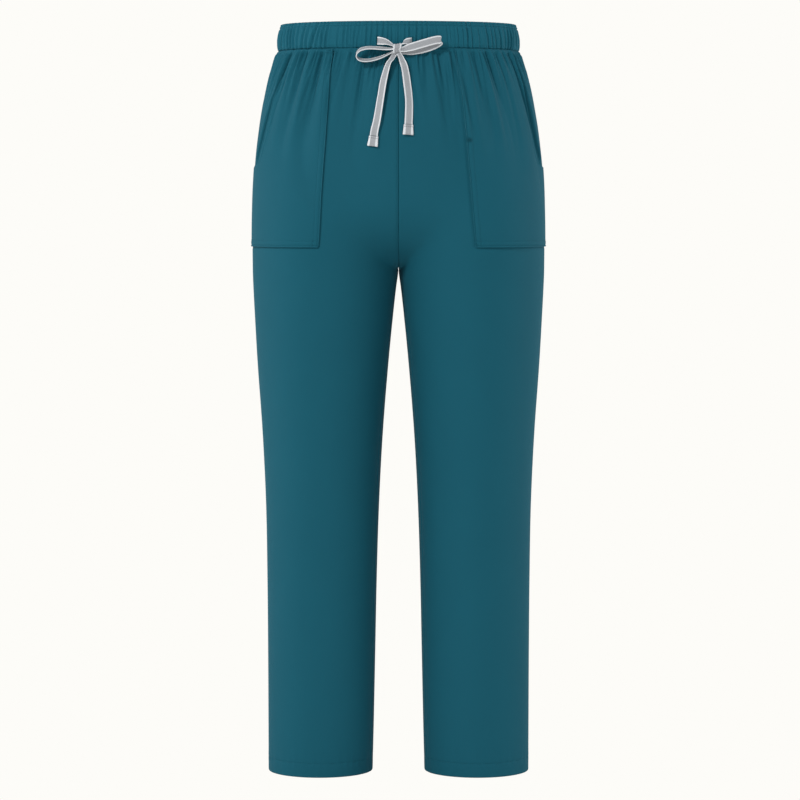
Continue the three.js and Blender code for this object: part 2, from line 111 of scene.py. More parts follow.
ground_paint = bpy.data.materials.new("off-white ground")
tree = empty_tree(ground_paint)
paint = wired(tree, "ShaderNodeBsdfPrincipled", {"Base Color": (*GROUND_SHADE, 1), "Roughness": 0.9})
off_white_to_the_camera(tree, paint.outputs[0], "ShaderNodeOutputMaterial")
ground_mesh = bpy.data.meshes.new("ground")
ground_corners = [
    (x * GROUND_REACH, y * GROUND_REACH, GROUND_Z) for x, y in ((-1, -1), (1, -1), (1, 1), (-1, 1))
]
ground_mesh.from_pydata(ground_corners, [], [(0, 1, 2, 3)])
ground_mesh.materials.append(ground_paint)
placed("ground", ground_mesh)


def soft_box(name, place, aim, size, power):
    lamp = bpy.data.lights.new(name, "AREA")
    lamp.shape = "RECTANGLE"
    lamp.size, lamp.size_y = size
    lamp.energy = power
    box = placed(name, lamp)
    box.location = place
    box.rotation_euler = (Vector(aim) - Vector(place)).to_track_quat("-Z", "Y").to_euler()


soft_box("main light", (-2.4, -3.6, 2.5), (0, 0, -0.5), (0.9, 0.9), 135)
soft_box("front fill", (1.1, -3.6, -0.4), (0, 0, -0.4), (1.8, 1.8), 27)
soft_box("left edge light", (-2.1, 0.3, 0.0), (0, 0, -0.4), (0.8, 2.0), 20)
soft_box("right edge light", (2.1, 0.35, 0.15), (0, 0, -0.35), (0.8, 1.8), 23)


# Front panels
# One front a leg, cut from thin stretch twill with the grain down the leg. It is gathered into the waist
# seam, sewn to its twin at the middle and to the back at the side and inseam, and turned up at the hem.
SEAM_GAP = 0.3
CLOTH = 1.0
SQUARENESS = 2.2
CROTCH = -321
BAND_FOOT = -18
WAIST_SEAM = -18.3
HEM = -1028
HEM_TURN = 20
HEM_WALL = 2.2
RISE_CURVE = {"front": 100, "back": 150}
LEG_BLEND = 190
SADDLE_ROUND = 24
INSEAM_TURN = radians(18)
INSEAM_FADE = 120

# Level sections. half: middle to side seam. gap: middle to inner leg. front, back: depth. shift: to the back.
SECTION_NAMES = ("z", "half", "gap", "front", "back", "shift")
SECTIONS = np.array([
    (-18, 167.6, 0.15, 100, 100, 0),
    (-32, 172.9, 0.15, 103.5, 106, 0),
    (-60, 180.9, 0.15, 109, 116, 0),
    (-100, 189.7, 0.15, 114, 128, 0),
    (-150, 197.1, 0.15, 117, 137, 0),
    (-200, 201.2, 0.15, 117, 140, 0),
    (-260, 203.2, 0.15, 112, 134, 0),
    (CROTCH, 203.2, 0.15, 104, 120, 0),
    (-345, 202.4, 3.2, 101, 115, 0),
    (-380, 200.7, 7.1, 98, 109, 0),
    (-450, 197, 14, 92, 100, 1),
    (-550, 190.3, 22, 84, 90, 3),
    (-650, 186, 27.3, 77, 82, 5),
    (-750, 184.6, 30.5, 72, 76, 7),
    (-850, 184.1, 32.6, 68, 71, 9),
    (-950, 184, 34.7, 65, 68, 11),
    (HEM, 184, 36.6, 63, 66, 12),
])

# Troughs between the gathers, from the middle (0) to the side (1). seam: place along the waist seam.
# lean: how much nearer the side 100 mm lower. reach: how far down. Then depth, and half of the breadth.
RIGHT_TROUGHS = [
    (0.04, 0.01, 45, 1.9, 0.02),
    (0.11, 0.01, 40, 1.6, 0.018),
    (0.185, 0.02, 150, 3.5, 0.033),
    (0.24, 0.03, 85, 2.7, 0.02),
    (0.3, 0.02, 50, 1.9, 0.018),
    (0.36, 0.02, 45, 1.6, 0.018),
    (0.418, 0.036, 160, 4.8, 0.027),
    (0.47, 0.03, 50, 2, 0.018),
    (0.525, 0.052, 125, 4.2, 0.024),
    (0.65, 0.05, 60, 2.7, 0.024),
    (0.76, 0.05, 70, 2.4, 0.03),
    (0.88, 0.03, 60, 1.9, 0.03),
]
LEFT_TROUGHS = [
    (0.05, 0.01, 40, 1.8, 0.02),
    (0.13, 0.01, 60, 2.4, 0.022),
    (0.2, 0.055, 120, 3.2, 0.03),
    (0.28, 0.03, 70, 2.4, 0.02),
    (0.34, 0.02, 45, 1.6, 0.018),
    (0.4, 0.05, 105, 3.3, 0.028),
    (0.49, 0.08, 125, 4.1, 0.028),
    (0.565, 0.06, 70, 2.7, 0.022),
    (0.63, 0.07, 60, 2.2, 0.02),
    (0.68, 0.1, 140, 4.1, 0.028),
    (0.8, 0.06, 80, 2.7, 0.03),
    (0.9, 0.03, 60, 1.9, 0.028),
]
MIDDLE_STITCH = 2.6  # from the middle seam, on the wearer's right
WAIST_STITCH = -22.4  # the row that holds the waist seam's allowances down
WAIST_DENT = 0.45
SMALL_GATHERS = 42  # short ones between the troughs, along each waist seam


def smooth(t):
    t = np.clip(t, 0, 1)
    return t * t * (3 - 2 * t)


def bell(off, width):
    """1 at the middle of a dent or a fold, and next to nothing two widths away."""
    return np.exp(-((off / width) ** 2))


def section(name, z):
    """A value of the section table at any heights, on a smooth curve through its rows."""
    rows, value = SECTIONS[:, 0], SECTIONS[:, SECTION_NAMES.index(name)]
    last = len(rows) - 1
    above, below = np.clip(np.arange(last + 1) - 1, 0, last), np.clip(np.arange(last + 1) + 1, 0, last)
    slope = (value[below] - value[above]) / (rows[below] - rows[above])
    z = np.asarray(z, float)
    i = np.clip(np.searchsorted(-rows, -z) - 1, 0, last - 1)
    step = rows[i + 1] - rows[i]
    t = np.clip((z - rows[i]) / step, 0, 1)
    start, end = 2 * t**3 - 3 * t**2 + 1, 3 * t**2 - 2 * t**3
    return start * value[i] + end * value[i + 1] + step * (
        (t**3 - 2 * t**2 + t) * slope[i] + (t**3 - t**2) * slope[i + 1]
    )


def form(face, u, z):
    """The left half of the filled-out trousers: u runs from the middle seam and inseam, 0, to the side, 1."""
    u, z = np.broadcast_arrays(np.asarray(u, float), np.asarray(z, float))
    half, gap, shift = section("half", z), section("gap", z), section("shift", z)
    front, back = section("front", z), section("back", z)
    depth = front if face == "front" else back
    facing = -1 if face == "front" else 1
    leg_half = (half - gap) / 2

    start = pi - INSEAM_TURN * smooth((CROTCH - z) / INSEAM_FADE)
    angle = start * (1 - u) if face == "front" else start + u * (2 * pi - start)
    reach = np.where(np.sin(angle) > 0, front, back)
    leg_x, leg_y = gap + leg_half * (1 + np.cos(angle)), shift - reach * np.sin(angle)

    body = smooth((z - CROTCH) / LEG_BLEND)
    seat_x = gap + leg_half * (1 - np.cos(pi * u))
    waist_x = gap + (half - gap) * np.sin(pi * u / 2)
    body_x = (1 - body) * seat_x + body * waist_x
    out = np.clip((body_x - gap) / (half - gap), 0, 1)
    profile = (1 - out**SQUARENESS) ** (1 / SQUARENESS)
    under = np.clip(1 - (z - CROTCH) / RISE_CURVE[face], 0, 1)
    rise = depth * np.sqrt(1 - under**2)
    legs = (1 - body) * depth * np.sin(pi * u) + body * depth * profile
    middle = rise * profile
    rounding = SADDLE_ROUND * (1 - body) * (rise / depth) * profile
    body_y = shift + facing * (legs + middle + np.hypot(legs - middle, rounding)) / 2

    below = z < CROTCH
    return np.stack([np.where(below, leg_x, body_x), np.where(below, leg_y, body_y), z], -1)


def outward(face, u, z):
    du, dz = 0.004, 0.4
    aside = form(face, np.minimum(u + du, 1), z) - form(face, np.maximum(u - du, 0), z)
    along = form(face, u, z - dz) - form(face, u, z + dz)
    normal = np.cross(along, aside) if face == "front" else np.cross(aside, along)
    return normal / np.linalg.norm(normal, axis=-1, keepdims=True)


def with_small_gathers(troughs, seed, longer=1, softer=1):
    """The table's troughs and short uneven ones between them, as an array with the same columns."""
    chance = np.random.default_rng(seed)
    count = SMALL_GATHERS
    place = (np.arange(count) + chance.uniform(0.15, 0.85, count)) / count
    small = np.stack([
        place,
        chance.uniform(-0.01, 0.04, count) + 0.14 * place**2,
        30 + 115 * chance.uniform(0, 1, count) ** 1.8,
        chance.uniform(0.9, 2.9, count),
        chance.uniform(0.0065, 0.012, count),
    ], -1)
    main = np.array(troughs) * (1, 1, 1.3, 1, 1)
    return np.vstack([main, small]) * (1, 1, longer, 1 / softer, 1)


PANELS = {
    "front_left": ("front", 1, with_small_gathers(LEFT_TROUGHS, 11, 1.3, 1.2)),
    "front_right": ("front", -1, with_small_gathers(RIGHT_TROUGHS, 12, 1.1, 1)),
    "back_left": ("back", 1, with_small_gathers(RIGHT_TROUGHS, 13)),
    "back_right": ("back", -1, with_small_gathers(LEFT_TROUGHS, 14)),
}


def fold_depth(troughs, u, z):
    """How far the gathers lower the cloth, in mm."""
    u, z = np.broadcast_arrays(u, z)
    down = BAND_FOOT - z
    total = np.zeros(u.shape)
    for seam, lean, reach, depth, width in troughs:
        spread = width * (0.72 + np.minimum(down, reach) / 150)
        off = np.abs(u - seam - lean * down / 100) / spread
        near = (off < 4.5) & (down < reach)
        off, here = off[near], down[near]
        fade = (0.2 + 0.8 * smooth((here - 3) / 5)) * (1 - smooth(here / reach)) ** 0.7
        total[near] += 1.3 * depth * fade * (np.exp(-(off**1.6)) - 0.3 * bell(off - 2, 0.8))
    return total + WAIST_DENT * bell(z - WAIST_STITCH, 0.8)


def on_panel(panel, u, z, stand=0.0):
    """Points that stand so far off a panel's outer face, and the outward directions there, in mm."""
    face, side, troughs = PANELS[panel]
    u, z = np.broadcast_arrays(np.asarray(u, float), np.asarray(z, float))
    normal = outward(face, u, z)
    folded = fold_depth(troughs, u, z)
    point = form(face, u, z) + normal * (stand - folded)[..., None]
    point[..., 0] = np.maximum(point[..., 0], SEAM_GAP / 2)
    turn = np.array([side, 1, 1])
    return point * turn, normal * turn


def run_of(face, z):
    """For each height, 161 places across a panel and how far each lies from the middle seam, in mm."""
    u = np.linspace(0, 1, 161)
    line = form(face, u[None, :], np.asarray(z, float)[:, None])
    steps = np.linalg.norm(np.diff(line, axis=1), axis=-1)
    return u, np.concatenate([np.zeros((len(steps), 1)), np.cumsum(steps, 1)], 1)


def places_at(distance, run, places):
    """The place u of each distance from the middle seam, row by row."""
    return np.stack([np.interp(d, row, places) for d, row in zip(distance, run)])


def distances_at(u, run, places):
    """The distance from the middle seam of each place u, row by row."""
    return np.stack([np.interp(v, places, row) for v, row in zip(u, run)])


def columns_across(edge, rest, count, length):
    """Distances across each row: close together at both edges, and even from rest in to rest in."""
    middle = rest + (length - 2 * rest) * np.linspace(0, 1, count)[None, :]
    return np.concatenate([np.repeat(edge[None], len(length), 0), middle, length - edge[::-1][None]], 1)


def cloth_mesh(name, outer, inner, across, along, ring=False):
    """A shell of cloth between two grids of points in mm, closed round its rim, with the weave laid on it."""
    rows, columns = outer.shape[:2]
    ids = np.arange(rows * columns).reshape(rows, columns)
    wrapped = np.concatenate([ids, ids[:, :1]], 1) if ring else ids
    corners = (wrapped[:-1, :-1], wrapped[1:, :-1], wrapped[1:, 1:], wrapped[:-1, 1:])
    face = np.stack(corners, -1).reshape(-1, 4)
    far = ids.size
    if ring:
        rims = [wrapped[0], wrapped[-1, ::-1]]
    else:
        rims = [np.concatenate([ids[0], ids[1:, -1], ids[-1, ::-1][1:], ids[::-1, 0][1:]])]
    faces = [face, face[:, ::-1] + far]
    for rim in rims:
        faces.append(np.stack([rim[:-1], rim[1:], rim[1:] + far, rim[:-1] + far], -1))
    faces = np.concatenate(faces)
    points = np.concatenate([outer.reshape(-1, 3), inner.reshape(-1, 3)]) * MM
    a, b, c, d = (points[faces[:, k]] for k in range(4))
    if np.sum(a * np.cross(b, c) + a * np.cross(c, d)) < 0:
        faces = faces[:, ::-1]
    mesh = bpy.data.meshes.new(name)
    mesh.from_pydata(points.tolist(), [], faces.tolist())
    weave = np.stack([across, along], -1).reshape(-1, 2)
    weave = np.concatenate([weave, weave]) * MM
    corner = np.empty(len(mesh.loops), np.int32)
    mesh.loops.foreach_get("vertex_index", corner)
    mesh.uv_layers.new(name="weave").data.foreach_set("uv", weave[corner].astype(np.float32).ravel())
    mesh.shade_smooth()
    return placed(name, mesh)


# Where the pockets lie on the fronts: distance from the middle at each height, seen from the front. The cloth
# is drawn down along their stitched edges and lies in a hollow under their slanted openings.
POCKET_FOOT = -288
POCKET_CORNER = 2  # cut off the lower inner corner
POCKET_EDGES = {
    "front_right": [(88.5, -19.5), (90, -36), (93.4, -72), (95.4, -105), (97.8, -142), (101.2, -183),
                    (103.9, -217), (106.5, -267), (108.3, -288)],
    "front_left": [(76.5, -19.5), (79, -45), (85.7, -82), (89.2, -115), (92.6, -149), (94.2, -174),
                   (96.9, -200), (99.5, -233), (104.6, -288)],
}
OPENINGS = {
    "front_right": [(143.5, -19.5), (145.7, -23), (157.8, -55), (169.7, -86), (182.8, -136), (192, -170),
                    (199, -180), (215, -184)],
    "front_left": [(152, -19.5), (154.3, -25), (168.8, -65), (177.3, -98), (187.6, -147), (194.4, -174),
                   (200, -181), (215, -185)],
}
OPENING_END = -181
HOLLOW = 8
DRAWN_DOWN = 0.8


def out_at(line, z):
    """Distance from the middle at heights z, along a line of (out, height) corners."""
    out, height = np.array(line, float).T
    return np.interp(-z, -height, out)


def place_of(face, out, z):
    """The place u across a panel of points that lie so far out from the middle."""
    u = np.linspace(0, 1, 401)
    x = form(face, u[None, :], z[:, None])[..., 0]
    return places_at(out, x, u)


def panel_heights(face):
    """Level rows of a panel: close at the gathers, at the curve of the crotch and at the hem's stitching."""
    curve = RISE_CURVE[face]
    sweep = np.arange(1, 25) / 24 * pi / 2
    rows = np.concatenate([
        WAIST_SEAM - np.array([0, 0.3, 0.8, 1.6, 2.5, 3.2, 3.7, 4.1, 4.5, 5.1, 6.1]),
        np.arange(-26, OPENING_END if face == "front" else -90, -2.6),
        [] if face == "front" else np.arange(-94, -184, -5),
        np.arange(-186, CROTCH + curve - 5, -8),
        CROTCH + curve * (1 - np.sin(sweep[:-1])),
        POCKET_FOOT + np.array([1, 0.2, -0.5, -1.2, -1.9]) if face == "front" else [],
        CROTCH - np.array([0, 0.8, 2.5, 5, 9, 14, 21, 29, 39, 51]),
        np.arange(-390, -990, -24),
        HEM + HEM_TURN + np.array([10, 3, 1.2, 0.5, 0, -0.5, -1.2, -2.4, -5, -8, -11.5, -15.5]),
        HEM + np.array([2.4, 1.2, 0.5, 0.1]),
    ])
    return -np.unique(-rows.round(3))


def make_panel(name, middle_columns):
    face, side, _ = PANELS[name]
    z = panel_heights(face)
    places, run = run_of(face, z)
    edge = np.array([0.15, 0.5, 1.0, 1.7, 2.6, 4.2])
    length = run[:, -1:]
    across = columns_across(edge, 6, middle_columns, length)
    u = places_at(across, run, places)
    height = np.repeat(z[:, None], across.shape[1], 1)

    to_seam = np.minimum(across, length - across)
    rolled = 0.8 * bell(to_seam, 1.2) + 1.2 * bell(BAND_FOOT - height, 2.1)
    stitched = 0.3 * bell(height - HEM - HEM_TURN, 0.8)
    if side < 0:
        stitched += 0.4 * bell(across - MIDDLE_STITCH, 0.8) * smooth((height - CROTCH - 20) / 10)
    pucker = 0.16 * np.sin(across / 1.9 + 1.3 * np.sin(across / 7)) * bell(height - HEM - HEM_TURN, 7)
    turned = smooth((HEM + HEM_TURN + 0.6 - height) / 1.2)
    at_fold = np.clip((height - HEM) / 2.4, 0, 1)
    fold_round = 0.8 * (1 - np.sqrt(1 - (1 - at_fold) ** 2))
    hollow = np.zeros(across.shape)
    if name in OPENINGS:
        edge_run = distances_at(place_of(face, out_at(POCKET_EDGES[name], z), z), run, places)[:, None]
        beside = (height > POCKET_FOOT) * bell(across - edge_run + 0.9, 1.4)
        below = (across > edge_run + 1) * bell(height - POCKET_FOOT + 0.9, 1.2)
        drawn = DRAWN_DOWN * np.maximum(beside, below)
        edge_run = distances_at(place_of(face, out_at(OPENINGS[name], z), z), run, places)[:, None]
        opens = smooth((height - OPENING_END - 4) / 16) * smooth((-22 - height) / 8)
        off = across - edge_run - 3.6 * smooth((-40 - height) / 80)
        hollow = drawn + opens * (HOLLOW * bell(off - 1.3, 2.6) - 0.3 * HOLLOW * bell(off - 7.5, 3.2))
    outer, normal = on_panel(name, u, height, -rolled - stitched + pucker - fold_round - hollow)
    wall = CLOTH + (HEM_WALL - CLOTH) * turned - fold_round * 1.6
    inner_face = outer - normal * np.maximum(wall, 0.3)[..., None]
    inner_face[..., 0] = side * np.maximum(side * inner_face[..., 0], SEAM_GAP / 2)
    return cloth_mesh(name + "_cloth", outer, inner_face, across, height)


# The cloth: a fine teal twill with a dry, slightly silky face. The ribs run diagonally at a real pitch,
# the dye is a little uneven, and long slubs follow the warp. The grooves between the ribs are also painted
# darker, as painted shade on top of their bump.
TEAL = (0.0065, 0.098, 0.140)
# The darker teal is the deep end of the uneven dye, and also painted shade in the grooves between the ribs.
TEAL_DEEP_DYE_AND_RIB_SHADE = (0.0045, 0.072, 0.106)
TWILL_SHEEN = (0.45, 0.80, 0.86)


def group_tree(name, inputs, outputs):
    """A node group with named sockets; inputs maps each name to a number, a colour or a vector."""
    tree = bpy.data.node_groups.new(name, "ShaderNodeTree")
    kinds = {float: "NodeSocketFloat", tuple: "NodeSocketColor", Vector: "NodeSocketVector"}
    for label, value in inputs.items():
        socket = tree.interface.new_socket(label, in_out="INPUT", socket_type=kinds[type(value)])
        if not isinstance(value, Vector):
            socket.default_value = (*value, 1) if isinstance(value, tuple) else value
    for label, value in outputs.items():
        tree.interface.new_socket(label, in_out="OUTPUT", socket_type=kinds[type(value)])
    return tree, tree.nodes.new("NodeGroupInput"), tree.nodes.new("NodeGroupOutput")


def sums(tree, operation, *values):
    return wired(tree, "ShaderNodeMath", dict(enumerate(values)), operation=operation).outputs[0]


def blended(tree, mask, low, high):
    node = wired(tree, "ShaderNodeMix", {0: mask}, data_type="RGBA")
    for socket, value in ((6, low), (7, high)):
        if isinstance(value, bpy.types.NodeSocket):
            tree.links.new(value, node.inputs[socket])
        else:
            node.inputs[socket].default_value = (*value, 1)
    return node.outputs[2]


twill_group, given, put_out = group_tree(
    "twill weave",
    {"Place": Vector(), "Cloth": TEAL, "Deep dye and rib shade": TEAL_DEEP_DYE_AND_RIB_SHADE, "Rib pitch": 0.9, "Unevenness": 0.5},
    {"Colour": TEAL, "Relief": 0.5, "Roughness": 0.8},
)


def in_twill(operation, *values):
    return sums(twill_group, operation, *values)


def noise_along(stretch, detail):
    """Noise over the cloth, drawn out along the warp."""
    scaled = {0: given.outputs["Place"], 1: stretch}
    place = wired(twill_group, "ShaderNodeVectorMath", scaled, operation="MULTIPLY")
    settings = {"Vector": place.outputs[0], "Scale": 1.0, "Detail": detail}
    return wired(twill_group, "ShaderNodeTexNoise", settings).outputs[0]


place = wired(twill_group, "ShaderNodeSeparateXYZ", {0: given.outputs["Place"]}).outputs
wave = in_twill("DIVIDE", 2 * pi, given.outputs["Rib pitch"])
diagonal = in_twill("MULTIPLY", in_twill("ADD", place[0], in_twill("MULTIPLY", place[1], 0.7)), wave)
across_ribs = in_twill("SUBTRACT", in_twill("MULTIPLY", place[0], 0.8), place[1])
crossing = in_twill("MULTIPLY", across_ribs, in_twill("MULTIPLY", wave, 1.7))
rib = in_twill("MULTIPLY_ADD", in_twill("SINE", diagonal), 0.5, 0.5)
knot_of_yarn = in_twill("MULTIPLY_ADD", in_twill("SINE", crossing), 0.5, 0.5)
slub = noise_along((0.55, 0.03, 1), 2.0)
dye = noise_along((0.02, 0.011, 1), 3.0)
uneven = in_twill("ADD", in_twill("MULTIPLY", slub, 0.5), in_twill("MULTIPLY", dye, 0.5))
uneven = in_twill("MULTIPLY_ADD", in_twill("SUBTRACT", uneven, 0.5), given.outputs["Unevenness"], 0.55)
# Painted shade: the rib wave darkens the grooves between the ribs; the slub and dye noise is the cloth's own
# uneven tone.
mask = wired(twill_group, "ShaderNodeClamp", {0: in_twill("MULTIPLY_ADD", rib, 0.28, uneven)}).outputs[0]
colour = blended(twill_group, mask, given.outputs["Deep dye and rib shade"], given.outputs["Cloth"])
relief = in_twill("MULTIPLY_ADD", knot_of_yarn, 0.3, in_twill("MULTIPLY_ADD", slub, 0.4, rib))
twill_group.links.new(colour, put_out.inputs["Colour"])
twill_group.links.new(relief, put_out.inputs["Relief"])
twill_group.links.new(in_twill("MULTIPLY_ADD", slub, 0.14, 0.72), put_out.inputs["Roughness"])


def weave_place(tree):
    """The place on the cloth in mm, from the piece's own weave map."""
    laid = wired(tree, "ShaderNodeUVMap", uv_map="weave")
    to_mm = {0: laid.outputs[0], 1: (1000, 1000, 1000)}
    return wired(tree, "ShaderNodeVectorMath", to_mm, operation="MULTIPLY").outputs[0]


def twill_cloth(name, cloth, between, sheen, pitch=0.9, relief=0.16, unevenness=0.5):
    """A material of the twill, laid on by the piece's own weave map in mm; between is the deep dye and rib
    shade colour.
    """
    material = bpy.data.materials.new(name)
    tree = empty_tree(material)
    weave = wired(tree, "ShaderNodeGroup", node_tree=twill_group)
    tree.links.new(weave_place(tree), weave.inputs["Place"])
    weave.inputs["Cloth"].default_value = (*cloth, 1)
    weave.inputs["Deep dye and rib shade"].default_value = (*between, 1)
    weave.inputs["Rib pitch"].default_value = pitch
    weave.inputs["Unevenness"].default_value = unevenness
    raised = {"Height": weave.outputs["Relief"], "Strength": relief, "Distance": 0.0004}
    bump = wired(tree, "ShaderNodeBump", raised)
    shader = wired(tree, "ShaderNodeBsdfPrincipled", {
        "Base Color": weave.outputs["Colour"],
        "Roughness": weave.outputs["Roughness"],
        "Normal": bump.outputs[0],
        "Specular IOR Level": 0.14,
        "Sheen Weight": 0.1,
        "Sheen Roughness": 0.3,
        "Sheen Tint": (*sheen, 1),
    })
    wired(tree, "ShaderNodeOutputMaterial", {"Surface": shader.outputs[0]})
    return material


def dressed(piece, material):
    """The piece in its material, riding on the trousers."""
    piece.data.materials.append(material)
    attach(piece, "root")
    return piece


scrub_twill = twill_cloth("teal scrub twill", TEAL, TEAL_DEEP_DYE_AND_RIB_SHADE, TWILL_SHEEN)


def hang_panel(name, middle_columns):
    panel = dressed(make_panel(name, middle_columns), scrub_twill)
    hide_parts(name)


for name in ("front_left", "front_right"):
    hang_panel(name, middle_columns=222)


# Back panels
# One back a leg from the same twill, fuller over the seat and with a deeper curve in to the crotch. It is
# gathered into the waist seam like the fronts and turned up in one with them at the hem.
for name in ("back_left", "back_right"):
    hang_panel(name, middle_columns=226)


# Patch pockets
# A flat pocket on each front, cut from the same twill and caught in the waist seam and the side seam. Its
# inner edge and foot are turned under and held by two rows of stitching; its slanted opening is hemmed.
POCKET_TOP = -19.5
POCKET_CLOTH = 0.9
POCKET_LIFT = 0.45
EDGE_TURN = 9.5
STITCH_ROWS = (2.2, 8.4)  # from the folded edge
LINE_POINTS = 240  # along a line of stitching


def pocket_rise(to_inner, to_outer, to_foot, z):
    """How far the pocket's face stands off the front: turned edges are thicker, stitching dents them."""
    opens = smooth((z - OPENING_END) / 14)
    rise = np.full(np.broadcast(to_inner, z).shape, POCKET_LIFT + POCKET_CLOTH)
    to_opening = np.where(opens > 0.02, to_outer / np.maximum(opens, 0.02), 1e3)
    for distance in (to_inner, to_foot, to_opening):
        turned = smooth((EDGE_TURN + 0.8 - distance) / 1.6)
        rise += 0.45 * turned * (rise < POCKET_LIFT + POCKET_CLOTH + 0.4)
    for distance in (to_inner, to_foot, to_opening):
        rise += 0.45 * smooth((1.9 - distance) / 1.2)
        rise -= 0.45 * np.clip(1 - distance / 0.5, 0, 1) ** 2
        for row in STITCH_ROWS:
            rise -= 0.5 * bell(distance - row, 0.8)
    gape = np.sin(pi * np.clip((POCKET_TOP - z) / (POCKET_TOP - OPENING_END), 0, 1)) ** 0.8
    gape = gape * (1 - 0.75 * smooth((-40 - z) / 60))
    return rise + 2.6 * gape * np.exp(-((np.maximum(to_outer, 0) / 17) ** 1.4))


def pocket_inner_edge(panel, z):
    """Distance of a pocket's inner edge from the middle, with its lower corner cut off."""
    corner = np.clip(1 - (z - POCKET_FOOT) / POCKET_CORNER, 0, 1) * POCKET_CORNER
    return out_at(POCKET_EDGES[panel], z) + corner


def make_pocket(panel):
    face = PANELS[panel][0]
    z = np.concatenate([
        [-19.5, -19.9, -20.6, -21.8],
        np.arange(-23.6, -172, -2.6),
        np.arange(-173, -186, -1.1),
        np.arange(-187, -274, -3.4),
        POCKET_FOOT + np.array([12, 10.4, 9.6, 9.0, 8.4, 7.8, 7.0, 5.5, 4.0]),
        POCKET_FOOT + np.array([3.0, 2.5, 2.0, 1.5, 1.0, 0.6, 0.3, 0]),
    ])
    places, run = run_of(face, z)
    inner_u = place_of(face, pocket_inner_edge(panel, z), z)
    outer_u = place_of(face, out_at(OPENINGS[panel], z), z)
    from_middle = distances_at(np.stack([inner_u, outer_u], -1), run, places)
    start, end = from_middle[:, :1], np.minimum(from_middle[:, 1:], run[:, -1:] - 0.15)
    edge = np.array([0, 0.3, 0.7, 1.1, 1.5, 2.0, 2.5, 3.2, 4.4, 6.0, 7.4, 7.9, 8.4, 8.9, 9.8, 11])
    length = end - start
    along_row = columns_across(edge, 12.6, 62, length)
    across = start + along_row
    u = places_at(across, run, places)
    height = np.repeat(z[:, None], across.shape[1], 1)
    rise = pocket_rise(along_row, length - along_row, height - POCKET_FOOT, height)
    rise -= 0.5 * bell(POCKET_TOP - height, 1.2)
    in_side_seam = height < OPENING_END
    rise -= np.where(in_side_seam, 0.7 * bell(length - along_row, 1.2), 0)
    outer, normal = on_panel(panel, u, height, rise)
    wall = np.minimum(POCKET_CLOTH, np.maximum(rise - 0.1, 0.15))
    name = panel.replace("front", "pocket") + "_cloth"
    return cloth_mesh(name, outer, outer - normal * wall[..., None], across + 37, height - 11)


def thread(line, normals, pitch=3.1, length=2.45, radius=0.2):
    """Lockstitches along a line of points in mm: short threads that dip into the cloth at both ends."""
    run = np.concatenate([[0], np.cumsum(np.linalg.norm(np.diff(line, axis=0), axis=1))])
    count = max(int(run[-1] / pitch), 1)
    starts = (np.arange(count) + 0.5) * run[-1] / count - length / 2
    share = np.array([0, 0.22, 0.78, 1])
    lift = np.array([-0.12, 0.12, 0.12, -0.12])
    thick = np.array([0.55, 1, 1, 0.55])
    at = starts[:, None] + share[None, :] * length
    centre, normal = (
        np.stack([np.interp(at, run, rows[:, k]) for k in range(3)], -1) for rows in (line, normals)
    )
    normal /= np.linalg.norm(normal, axis=-1, keepdims=True)
    ahead = np.gradient(centre, axis=1)
    aside = np.cross(ahead, normal)
    aside /= np.maximum(np.linalg.norm(aside, axis=-1, keepdims=True), 1e-9)
    centre = centre + normal * lift[None, :, None]
    sides = 5
    turn = np.arange(sides) * 2 * pi / sides
    ring = aside[:, :, None] * np.cos(turn)[:, None] + normal[:, :, None] * np.sin(turn)[:, None]
    points = centre[:, :, None] + ring * (radius * thick)[None, :, None, None]
    rings = len(share)
    base = np.arange(count)[:, None, None] * rings * sides
    k, j = np.meshgrid(np.arange(rings - 1) * sides, np.arange(sides), indexing="ij")
    after = (j + 1) % sides
    quads = np.stack([k + j, k + after, k + sides + after, k + sides + j], -1).reshape(-1, 4)
    faces = (base + quads[None]).reshape(-1, 4).tolist()
    for cap in (np.arange(sides)[::-1], (rings - 1) * sides + np.arange(sides)):
        faces += (base[:, :, 0] + cap[None]).tolist()
    return points.reshape(-1, 3), faces


def sewn(name, lines, material, slot, **stitch):
    """One piece of joined stitches along several lines of (points, normals)."""
    points, faces, used = [], [], 0
    for line, normals in lines:
        added, linked = thread(line, normals, **stitch)
        points.append(added)
        faces += [[i + used for i in f] for f in linked]
        used += len(added)
    mesh = bpy.data.meshes.new(name)
    mesh.from_pydata((np.concatenate(points) * MM).tolist(), [], faces)
    mesh.shade_smooth()
    return dressed(placed(name, mesh), material)


def sewing_thread(name, colour):
    """Spun thread: a fine twist along each stitch and a slightly uneven dye."""
    material = bpy.data.materials.new(name)
    tree = empty_tree(material)
    place = wired(tree, "ShaderNodeTexCoord").outputs["Object"]
    twist = wired(tree, "ShaderNodeTexNoise", {"Vector": place, "Scale": 2600.0, "Detail": 1.0}).outputs[0]
    shade = tuple(0.72 * c for c in colour)
    bump = wired(tree, "ShaderNodeBump", {"Height": twist, "Strength": 0.3, "Distance": 0.0001})
    shader = wired(tree, "ShaderNodeBsdfPrincipled", {
        "Base Color": blended(tree, twist, shade, colour),
        "Roughness": 0.7,
        "Normal": bump.outputs[0],
        "Specular IOR Level": 0.15,
    })
    wired(tree, "ShaderNodeOutputMaterial", {"Surface": shader.outputs[0]})
    return material


teal_thread = sewing_thread("teal sewing thread", (0.0085, 0.112, 0.156))


